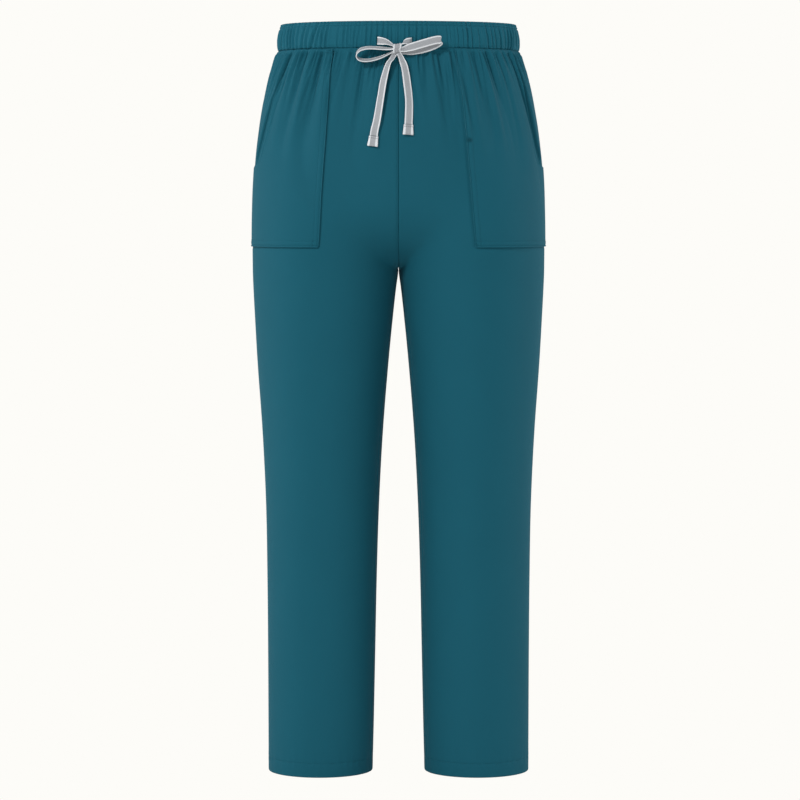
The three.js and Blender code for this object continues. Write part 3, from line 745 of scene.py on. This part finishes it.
def pocket_line(panel, to_inner=None, to_outer=None, to_foot=None, foot=POCKET_FOOT + 2):
    """A line of stitching on a pocket, parallel to one of its edges, with its outward directions."""
    face = PANELS[panel][0]
    if to_foot is None:
        z = np.linspace(POCKET_TOP - 1.5, foot, LINE_POINTS)
        edge_out = pocket_inner_edge(panel, z) if to_outer is None else out_at(OPENINGS[panel], z)
        places, run = run_of(face, z)
        edge_run = distances_at(place_of(face, edge_out, z), run, places)
        shifted = edge_run + to_inner if to_outer is None else np.minimum(edge_run, run[:, -1]) - to_outer
        u = places_at(shifted, run, places)
        gap_in, gap_out = (to_inner, 60) if to_outer is None else (60, to_outer)
        rise = pocket_rise(np.full(LINE_POINTS, gap_in), np.full(LINE_POINTS, gap_out), z - POCKET_FOOT, z)
    else:
        z = np.full(LINE_POINTS, POCKET_FOOT + to_foot)
        begin = place_of(face, pocket_inner_edge(panel, z[:1]) + 2, z[:1])[0]
        u = np.linspace(begin, 0.985, LINE_POINTS)
        from_inner, from_outer = np.full(LINE_POINTS, 30.0), np.full(LINE_POINTS, 60.0)
        rise = pocket_rise(from_inner, from_outer, np.full(LINE_POINTS, to_foot), z)
    return on_panel(panel, u, z, rise)


def bar_tack(panel, out, z, wide, high, stand=2.3):
    """A dense bar of short stitches across a line, as at the end of an opening."""
    face = PANELS[panel][0]
    lines = []
    for row in np.arange(-high / 2, high / 2 + 0.1, 0.75):
        x = np.linspace(out - wide / 2, out + wide / 2, 12)
        level = np.full(len(x), z + row)
        lines.append(on_panel(panel, place_of(face, x, level), level, stand))
    return lines


for name, panel in (("pocket_left", "front_left"), ("pocket_right", "front_right")):
    pocket = dressed(make_pocket(panel), scrub_twill)
    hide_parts(name)
    rows = []
    for row in STITCH_ROWS:
        rows.append(pocket_line(panel, to_inner=row))
        rows.append(pocket_line(panel, to_foot=row))
        rows.append(pocket_line(panel, to_outer=row, foot=OPENING_END + 6))
    stitching = sewn(name + "_stitching", rows, teal_thread, "scrub_twill")

tacks = bar_tack("front_left", 95.2, -143, 7.5, 4.5)
tacks += bar_tack("front_right", 91, -21.6, 14, 0) + bar_tack("front_right", 91.4, -25.2, 14, 0)
sewn("pocket_bar_tacks", tacks, teal_thread, "scrub_twill", pitch=2.4, length=2.3, radius=0.24)


# Seams and hems
# Teal lockstitching: a row beside the middle seams, front and back, and one round each turned-up hem.
# Inside, each seam's allowances are trimmed, overlocked together and pressed to one side.


def beside_middle(panel, distance, top, foot, stand):
    face = PANELS[panel][0]
    z = np.linspace(top, foot, 300)
    places, run = run_of(face, z)
    u = places_at(np.full(len(z), distance), run, places)
    return on_panel(panel, u, z, stand)


hem_rows = []
for panel in PANELS:
    u = np.linspace(0.012, 0.988, 200)
    hem_rows.append(on_panel(panel, u, HEM + HEM_TURN, -0.3))
sewn("hem_stitching", hem_rows, teal_thread, "scrub_twill")
middle_rows = [
    beside_middle("front_right", MIDDLE_STITCH, -21, -300, -0.25),
    beside_middle("back_right", MIDDLE_STITCH, -21, -290, -0.25),
]
sewn("middle_seam_stitching", middle_rows, teal_thread, "scrub_twill")


def allowance(name, first, second, at_side, top, foot):
    """The trimmed and overlocked allowances of one seam: a strip across its inside, from panel to panel."""
    z = panel_heights(PANELS[second][0])
    z = z[(z < top) & (z > foot)]
    ripple = 1 + 0.07 * np.sin(np.arange(len(z)) * 1.3)
    points, normals = [], []
    for panel, steps in ((first, (5.5, 3.5, 1.6, 0.25)), (second, (0.25, 1.6, 3.5, 5.5))):
        places, run = run_of(PANELS[panel][0], z)
        distance = ripple[:, None] * np.array(steps)
        if at_side:
            distance = run[:, -1:] - distance
        u = places_at(distance, run, places)
        under = 0.9 + CLOTH + (HEM_WALL - CLOTH) * smooth((HEM + HEM_TURN + 4 - z) / 4)
        placed = on_panel(panel, u, np.repeat(z[:, None], 4, 1), -under[:, None])
        points.append(placed[0])
        normals.append(placed[1])
    near, normal = np.concatenate(points, 1), np.concatenate(normals, 1)
    across, along = np.meshgrid(np.arange(8) * 1.6, z)
    strip = cloth_mesh(name, near, near - normal * 1.1, across, along)
    dressed(strip, scrub_twill)


for name, first, second, at_side, top, foot in (
    ("allowance_side_left", "front_left", "back_left", True, -20, -1026),
    ("allowance_side_right", "front_right", "back_right", True, -20, -1026),
    ("allowance_middle_front", "front_left", "front_right", False, -20, -320),
    ("allowance_middle_back", "back_left", "back_right", False, -20, -320),
    ("allowance_inseam_left", "front_left", "back_left", False, -324, -1026),
    ("allowance_inseam_right", "front_right", "back_right", False, -324, -1026),
):
    allowance(name, first, second, at_side, top, foot)


# Waistband
# A folded strip of the twill over 32 mm elastic, sewn on while stretched, so it springs back into close
# uneven gathers between its rows of stitching. Two buttonholes at the front let the drawstring out.
BAND_TOP = 18
BAND_WALL = 3
# Height of each row of stitching, and how deep it dents the band.
BAND_ROWS = {15.4: 0.6, 11.8: 1.0, -15.2: 0.5}
# Height of each level of the band, with its half width and half depth.
BAND_LEVELS = np.array([(-18, 167.6, 100), (-2, 166.9, 99.6), (13, 164.6, 98.2), (18, 162.8, 97)])
BAND_HALF = 167
BAND_DEPTH = 100
BAND_COLUMNS = 1300
# Creases on the front. x: place. lean: sideways over 30 mm of height. depth and width of the crease.
BAND_CREASES = [
    (-143, 1, 0.9, 1.6), (-137.5, 1, 0.8, 1.3), (-130, 4, 1.3, 1.5), (-124, 4, 0.9, 1.3),
    (-115.2, 8, 1.9, 1.9), (-109, 6, 0.8, 1.2), (-103, 4, 1.2, 1.5), (-97.6, 3, 1.2, 1.3),
    (-82, 1, 0.6, 1.0), (-73.8, 1, 0.9, 1.2), (-68.4, 1, 0.6, 1.0), (-59, 3, 0.9, 1.2),
    (-53.5, 3, 0.7, 1.1), (-42.7, 1, 1.0, 1.2), (-35.9, 2, 0.7, 1.1), (-27.8, 1, 1.0, 1.3),
    (-20.3, 2, 0.8, 1.2), (-13.4, 1, 0.8, 1.1), (-8.8, -1, 0.6, 1.0), (0, 0, 0.9, 0.9),
    (9.6, 1, 0.7, 1.1), (15.6, 1, 0.9, 1.2), (25.7, 2, 1.0, 1.3), (33.2, 1, 0.8, 1.1),
    (40, 0, 0.6, 1.0), (52.8, 0, 0.5, 1.0), (66.8, -1, 0.8, 1.1), (71.1, -1, 0.5, 0.9),
    (82, -1, 0.9, 1.2), (88.8, -1, 0.6, 1.0), (95, -2, 1.1, 1.3), (101, -1, 0.8, 1.1),
    (110.4, -2, 0.9, 1.2), (122, -3, 1.5, 1.5), (128, -2, 0.8, 1.1), (132.8, -2, 1.1, 1.2),
    (139.3, -2, 1.2, 1.2), (145.7, -1, 0.8, 1.2),
]


def oval(v):
    return np.sign(v) * np.abs(v) ** (2 / SQUARENESS)


round_angle = np.linspace(-pi, pi, 4001)
round_x, round_y = oval(np.sin(round_angle)), -oval(np.cos(round_angle))
steps = np.hypot(BAND_HALF * np.diff(round_x), BAND_DEPTH * np.diff(round_y))
round_run = np.concatenate([[0], np.cumsum(steps)])
BAND_ROUND = round_run[-1]
round_run -= BAND_ROUND / 2  # 0 is the middle of the front, and the wearer's left is +

front_half = np.abs(round_angle) < pi / 2


def band_run_at(x):
    """The run round the band of a place on its front."""
    return np.interp(x, BAND_HALF * round_x[front_half], round_run[front_half])


creases = [(band_run_at(x), lean, depth, width) for x, lean, depth, width in BAND_CREASES]
chance = np.random.default_rng(21)
place = creases[len(BAND_CREASES) - 1][0] + 7
last = BAND_ROUND + creases[0][0] - 6
while place < last:
    creases.append((place, chance.uniform(-4, 4), chance.uniform(0.6, 1.7), chance.uniform(1.1, 1.8)))
    place += chance.uniform(5.5, 12)
for _ in range(110):
    place, lean = chance.uniform(0, BAND_ROUND), chance.uniform(-2, 2)
    creases.append((place, lean, chance.uniform(0.12, 0.4), chance.uniform(0.7, 1.2)))


def band_surface(run, z, stand=0.0):
    """Points on the gathered outer face of the waistband, and the outward directions, in mm."""
    run, z = np.broadcast_arrays(np.asarray(run, float), np.asarray(z, float))
    x, y = np.interp(run, round_run, round_x), np.interp(run, round_run, round_y)
    half = np.interp(z, BAND_LEVELS[:, 0], BAND_LEVELS[:, 1])
    depth = np.interp(z, BAND_LEVELS[:, 0], BAND_LEVELS[:, 2])
    normal_x = np.sign(x) * np.abs(x) ** 1.2 / BAND_HALF
    normal_y = np.sign(y) * np.abs(y) ** 1.2 / BAND_DEPTH
    normal = np.stack([normal_x, normal_y, 0 * x], -1)
    normal /= np.linalg.norm(normal, axis=-1, keepdims=True)
    puffed = 0.7 * np.clip(1 - ((z + 2) / 14) ** 2, 0, 1)
    sewn_down, free = np.zeros(run.shape), np.ones(run.shape)
    for row, dent in BAND_ROWS.items():
        sewn_down += dent * bell(z - row, 0.8)
        free -= 0.6 * dent * bell(z - row, 2)
    gathers = np.zeros(run.shape)
    for at, lean, deep, wide in creases:
        off = (run - at - lean * z / 30 + BAND_ROUND / 2) % BAND_ROUND - BAND_ROUND / 2
        near = np.abs(off) < 7 * wide
        off = off[near] / wide
        crease = np.exp(-np.abs(off) ** 1.4) - 0.3 * bell(np.abs(off) - 2.2, 1.1)
        gathers[near] += 1.5 * deep * crease
    fold_over = np.clip((z - (BAND_TOP - 1.4)) / 1.4, 0, 1)
    round_top = 1.3 * (1 - np.sqrt(np.clip(1 - fold_over**2, 0, 1)))
    foot = 1.5 * bell(z - BAND_FOOT, 1.1)
    lift = stand + puffed - sewn_down - gathers * free - round_top - foot
    return np.stack([half * x, depth * y, z], -1) + normal * lift[..., None], normal


def make_waistband():
    run = np.arange(BAND_COLUMNS) / BAND_COLUMNS * BAND_ROUND - BAND_ROUND / 2
    z = np.array([
        18, 17.8, 17.3, 16.6, 16, 15.4, 14.8, 14, 13.2, 12.4, 11.8, 11.2, 10.4, 8.5, 6, 3, 0, -3, -6, -9,
        -11.5, -13.5, -14.5, -15.2, -15.9, -16.6, -17.2, -17.7, -18,
    ])
    height = np.repeat(z[:, None], len(run), 1)
    outer, normal = band_surface(run[None, :], height)
    x, y = np.interp(run, round_run, round_x), np.interp(run, round_run, round_y)
    half = np.interp(z, BAND_LEVELS[:, 0], BAND_LEVELS[:, 1])[:, None] - BAND_WALL
    depth = np.interp(z, BAND_LEVELS[:, 0], BAND_LEVELS[:, 2])[:, None] - BAND_WALL
    ripple = 0.5 * np.sin(run / 1.9 + 2 * np.sin(run / 23)) * (1 - bell(height - 11.8, 2))
    inner = np.stack([half * x, depth * y, height], -1) - normal * (0.3 + ripple)[..., None]
    return cloth_mesh("waistband_cloth", outer, inner, np.repeat(run[None, :], len(z), 0), height, ring=True)


# Painted light: the band is the same twill as the panels, with its colours painted about a tenth lighter to
# make up for the shade that falls among its gathers.
BAND_TEAL_PAINTED_LIGHTER = (0.0072, 0.108, 0.154)
BAND_DEEP_DYE_AND_RIB_SHADE_PAINTED_LIGHTER = (0.005, 0.08, 0.117)
band_twill_painted_lighter = twill_cloth("teal twill on elastic painted lighter", BAND_TEAL_PAINTED_LIGHTER, BAND_DEEP_DYE_AND_RIB_SHADE_PAINTED_LIGHTER, TWILL_SHEEN)
waistband = dressed(make_waistband(), band_twill_painted_lighter)
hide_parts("waistband")

run = np.linspace(-BAND_ROUND / 2, BAND_ROUND / 2, 2400)
band_rows = [band_surface(run, z) for z in BAND_ROWS]
band_stitching = sewn("waistband_stitching", band_rows, teal_thread, "gathered_waistband")


# Drawstring
# A flat braided tape of pale grey cotton, thicker along both edges. It runs through the band, comes out at
# two stitched buttonholes and is tied in a bow; each end is folded back on itself and sewn across.
TAPE_WIDTH = 11
TAPE_THICKNESS = 1.3
TIP_WIDTH = 14.4
TIP_THICKNESS = 3.2
TIP_LENGTH = 14
# The braid's pale grey, which the material paints still lighter at the raised edges as a painted highlight,
# and the dark grey that it paints over the middle of the tape as painted shade.
TAPE_GREY = (0.72, 0.745, 0.765)
TAPE_PAINTED_SHADE = (0.165, 0.172, 0.188)
# Where the tape runs: its place, the direction across it, and the share of its width that lies open, less
# where it is gathered.
RIGHT_TAPE = np.array([
    # out of the buttonhole and into the knot
    (-28.2, -100.4, -9.2, 0, 0, 1, 1),
    (-25, -103.6, -9.6, 0, 0, 1, 0.95),
    (-17, -105.6, -11.2, 0, 0.4, 0.9, 0.8),
    (-7.1, -107.6, -16, 0, 1, 0.35, 0.55),
    (-3.4, -107.9, -18.6, 0, 1, 0.3, 0.5),
    # the loop
    (-8.5, -108.4, -20.4, 0, 1, 0.3, 0.65),
    (-20, -108.8, -20, 0, 1, 0.45, 1),
    (-32, -109, -19.2, 0, 1, 0.45, 1),
    (-44, -109, -19.4, 0, 1, 0.45, 1),
    (-52.5, -109.2, -22.4, 0, 1, 0.45, 1),
    (-56.3, -109.6, -28, 0, 1, 0.45, 1),
    (-54.5, -110, -33.4, 0, 1, 0.45, 1),
    (-48, -110.2, -35.9, 0, 1, 0.45, 1),
    (-37, -110.2, -35.4, 0, 1, 0.45, 1),
    (-24, -109.8, -31.8, 0, 1, 0.4, 1),
    (-13.5, -109.2, -27.2, 0, 1, 0.3, 0.8),
    (-8.1, -109, -24.4, 0, 1, 0.3, 0.65),
    (-3.2, -108.4, -23, 0.3, 1, 0.2, 0.5),
    # the hanging end
    (-4.6, -108.5, -26.6, 0.8, 0.2, 0, 0.55),
    (-9, -110.6, -34, 0.8, -0.3, 0.2, 0.7),
    (-14.2, -112, -42, 0.75, -0.5, 0.2, 0.85),
    (-20.1, -113.4, -63, 0.85, -0.5, 0.15, 1),
    (-23.7, -115.4, -84, 0.9, -0.5, 0.15, 1),
    (-28.6, -117.6, -114, 1, -0.4, 0.15, 1),
    (-32.2, -118.4, -130, 1, -0.25, 0.15, 1),
    (-33.3, -118.7, -137.5, 1, -0.2, 0.15, 1),
])
LEFT_TAPE = np.array([
    (18, -100.45, -10.4, 0, 0, 1, 1),
    (15, -103.6, -10.6, 0, 0, 1, 0.95),
    (10, -105.6, -11.4, 0, 0.5, 0.85, 0.8),
    (3.1, -107.4, -16, 0, 1, -0.3, 0.55),
    (-0.6, -108.2, -19.4, -0.2, 0.7, 0.5, 0.5),
    (4.3, -110.8, -21.6, -0.28, 0, 0.96, 0.6),
    (16, -111.8, -18.6, -0.28, 0, 0.96, 0.95),
    (29, -111.5, -14.8, -0.28, 0, 0.96, 1),
    (42, -110.8, -11, -0.28, 0, 0.96, 1),
    (52, -109.8, -8.6, -0.25, 0, 0.96, 1),
    (57.2, -107.3, -8.8, -0.1, 0, 1, 1),
    (53.5, -105, -12.5, -0.2, 0, 0.98, 1),
    (44, -104.5, -17, -0.25, 0, 0.97, 1),
    (32, -104.6, -20.6, -0.2, 0, 0.98, 1),
    (19, -104.8, -23.4, -0.15, 0, 0.98, 0.9),
    (10, -105.1, -24.2, -0.1, 0, 1, 0.7),
    (4.4, -105.6, -24, -0.1, 0, 1, 0.6),
    (-0.8, -107.8, -23.4, 0.5, -0.2, 0.6, 0.5),
    (0.8, -109.3, -26.4, 0.9, -0.4, 0, 0.55),
    (5, -111.2, -36, 0.95, -0.3, 0, 0.75),
    (8.6, -112.6, -47, 1, 0.25, 0, 0.9),
    (11.5, -114, -65, 1, 0.35, 0, 1),
    (14.2, -115.8, -89, 1, 0.35, 0, 1),
    (14.2, -117.4, -108, 1, 0.2, 0, 1),
    (13.6, -118.4, -122, 1, 0.1, 0, 1),
])


def along_stations(stations, step=0.9):
    """Evenly spaced rows of the station table, on a smooth curve through it."""
    padded = np.vstack([2 * stations[0] - stations[1], stations, 2 * stations[-1] - stations[-2]])
    rows = []
    for i in range(1, len(padded) - 2):
        p, a, b, q = padded[i - 1:i + 3]
        t = np.linspace(0, 1, 40, endpoint=False)[:, None]
        square = (2 * p - 5 * a + 4 * b - q) * t**2
        cube = (3 * a - p - 3 * b + q) * t**3
        rows.append(0.5 * (2 * a + (b - p) * t + square + cube))
    rows = np.vstack([*rows, stations[-1:]])
    run = np.concatenate([[0], np.cumsum(np.linalg.norm(np.diff(rows[:, :3], axis=0), axis=1))])
    at = np.linspace(0, run[-1], int(run[-1] / step) + 1)
    return np.stack([np.interp(at, run, column) for column in rows.T], -1), at


def tape_grid(stations, width, thickness, pleat=1.5, step=0.9):
    """The two faces of a tape along its stations, in mm, with its middle line and the run along it."""
    rows, run = along_stations(stations, step)
    middle, across, opened = rows[:, :3], rows[:, 3:6], rows[:, 6:7]
    ahead = np.gradient(middle, axis=0)
    ahead /= np.linalg.norm(ahead, axis=1, keepdims=True)
    across = across - ahead * np.sum(across * ahead, 1, keepdims=True)
    across /= np.linalg.norm(across, axis=1, keepdims=True)
    face = np.cross(across, ahead)
    s = np.sin(np.linspace(-pi / 2, pi / 2, 27))[None, :] * np.ones((len(run), 1))
    edge = bell(np.abs(s) - 0.83, 0.13)
    half = thickness * (0.34 + 0.2 * edge) * np.sqrt(np.clip(1 - s**8, 0.02, 1))
    weave_wave = 0.05 * np.sin(run[:, None] * 3.2 + 4 * np.abs(s))
    fold = pleat * (1 - opened) * np.cos(3 * pi * s + 0.6 * np.sin(run[:, None] / 9))
    flat = (middle[:, None] + across[:, None] * (s * width / 2 * opened)[..., None])
    top = flat + face[:, None] * (fold + half + weave_wave)[..., None]
    under = flat + face[:, None] * (fold - half - weave_wave)[..., None]
    return top, under, s * width / 2, np.repeat(run[:, None], 27, 1), middle, ahead, across, face


def braided_tape(name):
    """Pale cotton braid with slanting strands that meet along the middle: painted shade greys the middle and
    a painted highlight lightens the raised edges.
    """
    material = bpy.data.materials.new(name)
    tree = empty_tree(material)
    place = weave_place(tree)
    part = wired(tree, "ShaderNodeSeparateXYZ", {0: place}).outputs
    out = sums(tree, "ABSOLUTE", part[0])
    slanting = sums(tree, "ADD", sums(tree, "MULTIPLY", out, 0.9), part[1])
    slant = sums(tree, "SINE", sums(tree, "MULTIPLY", slanting, 4.6))
    column = sums(tree, "SINE", sums(tree, "MULTIPLY", part[0], 6.3))
    strand = sums(tree, "MULTIPLY_ADD", slant, 0.3, sums(tree, "MULTIPLY_ADD", column, 0.2, 0.5))
    # Painted highlight: the raised edges of the tape are painted far lighter than its middle.
    edge = wired(tree, "ShaderNodeMapRange", {0: out, 1: 3.3, 2: 4.2}).outputs[0]
    fluff = wired(tree, "ShaderNodeTexNoise", {"Vector": place, "Scale": 0.8, "Detail": 3.0}).outputs[0]
    braid = sums(tree, "MULTIPLY_ADD", strand, 0.25, sums(tree, "MULTIPLY", fluff, 0.35))
    light = wired(tree, "ShaderNodeClamp", {0: sums(tree, "MULTIPLY_ADD", edge, 0.75, braid)}).outputs[0]
    bump = wired(tree, "ShaderNodeBump", {"Height": strand, "Strength": 0.45, "Distance": 0.0003})
    shader = wired(tree, "ShaderNodeBsdfPrincipled", {
        "Base Color": blended(tree, light, TAPE_PAINTED_SHADE, TAPE_GREY),
        "Roughness": 0.78,
        "Normal": bump.outputs[0],
        "Sheen Weight": 0.15,
    })
    wired(tree, "ShaderNodeOutputMaterial", {"Surface": shader.outputs[0]})
    return material


grey_braid_painted_light = braided_tape("pale grey braid with painted shade and highlight")
grey_thread = sewing_thread("grey sewing thread", (0.10, 0.105, 0.12))


def tape_piece(*mesh):
    return dressed(cloth_mesh(*mesh), grey_braid_painted_light)


def folded_tip(name, end, ahead, across, face):
    """The end of the tape folded back twice and stitched, a little wider and puckered at its foot."""
    down = np.array([0, 0.15, 0.5, 1.2, 2, 2.6, 3.0, 3.4, 4, 5, 6.5, 8, 9.5, 11, 12.2, 13, 13.5, 13.8, 14])
    s = np.sin(np.linspace(-pi / 2, pi / 2, 31))[None, :] * np.ones((len(down), 1))
    low = smooth((down[:, None] - 3) / 9)
    half_width = TIP_WIDTH / 2 * (0.9 + 0.1 * low)
    to_end = np.minimum(down, TIP_LENGTH - down)
    ends = np.sqrt(np.clip(1 - (np.clip(1.4 - to_end, 0, 1.4) / 1.4) ** 2, 0.05, 1))[:, None]
    sewn_in = 0.55 * bell(down[:, None] - 3, 0.55)
    pucker = 0.22 * low * np.cos(7 * pi * s)
    half = TIP_THICKNESS / 2 * (0.82 + 0.18 * low) - sewn_in + pucker
    half = half * ends * np.sqrt(np.clip(1 - s**6, 0.03, 1))
    flat = end + ahead * (SEAM_GAP + down)[:, None, None] + across * (s * half_width)[..., None]
    top, under = flat + face * half[..., None], flat - face * half[..., None]
    tip = tape_piece(name, top, under, s * half_width, np.repeat(down[:, None], 31, 1))
    rows = []
    for grid, turn in ((top, 1), (under, -1)):
        line = grid[6] + turn * face * 0.05
        rows.append((line[3:-3], np.repeat(turn * face[None], 31, 0)[3:-3]))
    stitches = sewn(name + "_stitches", rows, grey_thread, "drawstring_tape",
                    pitch=2.2, length=1.7, radius=0.24)
    return tip, stitches


def buttonhole(name, x, z, high=13, wide=1.7):
    """A buttonhole in the band: two close columns of short stitches each side of a narrow slit."""
    at = band_run_at(x)
    lines = []
    for side in (-1, 1):
        for level in np.arange(-high / 2, high / 2 + 0.1, 0.55):
            run = at + side * (0.5 + wide * np.linspace(0, 1, 6))
            lines.append(band_surface(run, z + level, 0.1))
    for level in (-high / 2 - 0.5, high / 2 + 0.5):
        lines.append(band_surface(at + np.linspace(-2.2, 2.2, 6), z + level, 0.15))
    return sewn(name, lines, teal_thread, "gathered_waistband", pitch=2.0, length=1.6, radius=0.25)


# The knot: one turn of the tape pulled tight round the other three.
KNOT = (-2, -108, -20)
KNOT_DEEP = 4.6
KNOT_HIGH = 6.1
WRAP_STEPS = 26
turn = np.linspace(-0.15, 2 * pi + 0.15, WRAP_STEPS)
wrap = np.stack([
    KNOT[0] + 0.9 * np.sin(turn / 2 + 0.4),
    KNOT[1] - KNOT_DEEP * np.cos(turn),
    KNOT[2] + KNOT_HIGH * np.sin(turn),
    np.full(WRAP_STEPS, 1.0), 0.1 * np.cos(turn), np.full(WRAP_STEPS, 0.16), 0.95 + 0.03 * np.sin(3 * turn),
], -1)
top, under, across, along, *_ = tape_grid(wrap, TAPE_WIDTH, TAPE_THICKNESS, pleat=3)
knot = tape_piece("drawstring_knot_wrap", top, under, across, along)
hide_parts("drawstring_knot")

for side, stations in (("right", RIGHT_TAPE), ("left", LEFT_TAPE)):
    top, under, across, along, middle, ahead, aside, face = tape_grid(stations, TAPE_WIDTH, TAPE_THICKNESS)
    tape = tape_piece("drawstring_" + side, top, under, across, along)
    for stretch in ("stub_", "loop_", "tail_"):
        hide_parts("drawstring_" + stretch + side)
    tip, stitches = folded_tip("drawstring_tip_cloth_" + side, middle[-1], ahead[-1], aside[-1], face[-1])
    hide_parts("drawstring_tip_" + side)
    buttonhole("buttonhole_" + side, stations[0, 0], stations[0, 2])
